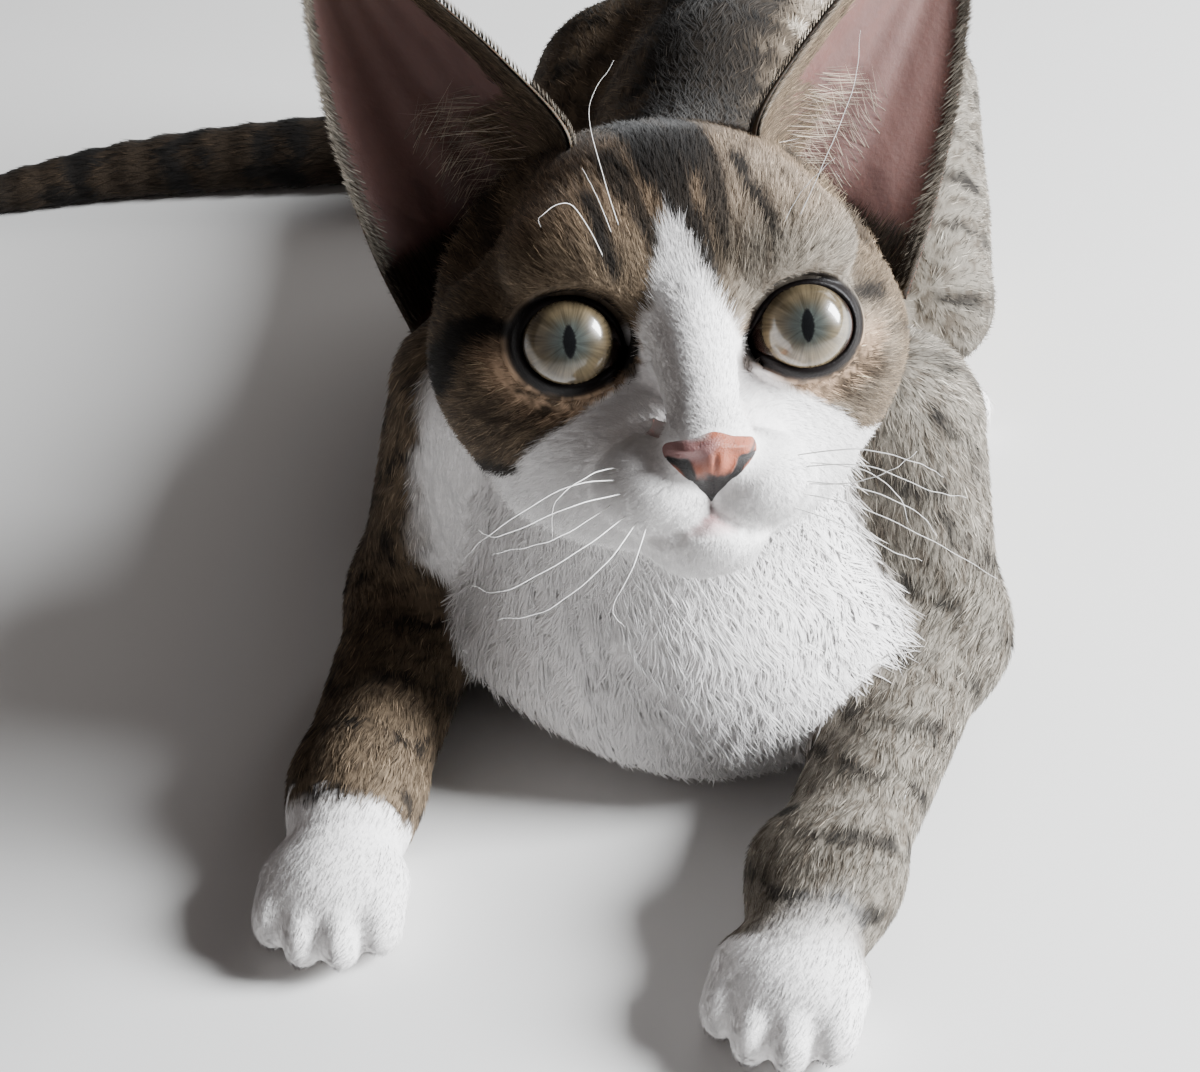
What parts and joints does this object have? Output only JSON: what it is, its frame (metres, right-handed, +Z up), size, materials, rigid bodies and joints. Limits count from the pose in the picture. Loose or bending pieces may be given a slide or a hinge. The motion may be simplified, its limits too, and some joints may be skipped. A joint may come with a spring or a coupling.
{
  "type": "devon rex cat model",
  "caption": "life-size still model of a young tabby and white Devon Rex cat, lying on its chest with forelegs out, head raised, tail laid to one side",
  "frame": {"origin": "on the floor under the belly, on the spine's plane", "axes": "+Z up; the body's spine runs along Y and the cat faces -Y, so +X is the cat's own left"},
  "size_m": [0.3796, 0.4096, 0.2194],
  "materials": {
    "coat": "short soft waved tabby fur",
    "white_coat": "short soft waved white fur",
    "ear_skin": "thin ear with a nearly bare mauve inside",
    "nose_skin": "moist pink nose with a black lower tip",
    "eye": "clear wet cornea over a grey-green iris",
    "whisker": "fine crinkled white whiskers"
  },
  "bodies": {
    "root": {"head": "coat", "nose": "nose_skin", "ear_left": "ear_skin", "ear_right": "ear_skin", "eye_left": "eye", "eye_right": "eye", "neck": "coat", "chest": "white_coat", "torso": "coat", "hindquarters": "coat", "upper_arm_left": "coat", "upper_arm_right": "coat", "forearm_left": "coat", "forearm_right": "coat", "forepaw_left": "white_coat", "forepaw_right": "white_coat", "thigh_left": "coat", "thigh_right": "coat", "hind_foot_left": "white_coat", "hind_foot_right": "white_coat", "tail_root": "coat", "tail_middle": "coat", "tail_tip": "coat"}
  },
  "joints": []
}
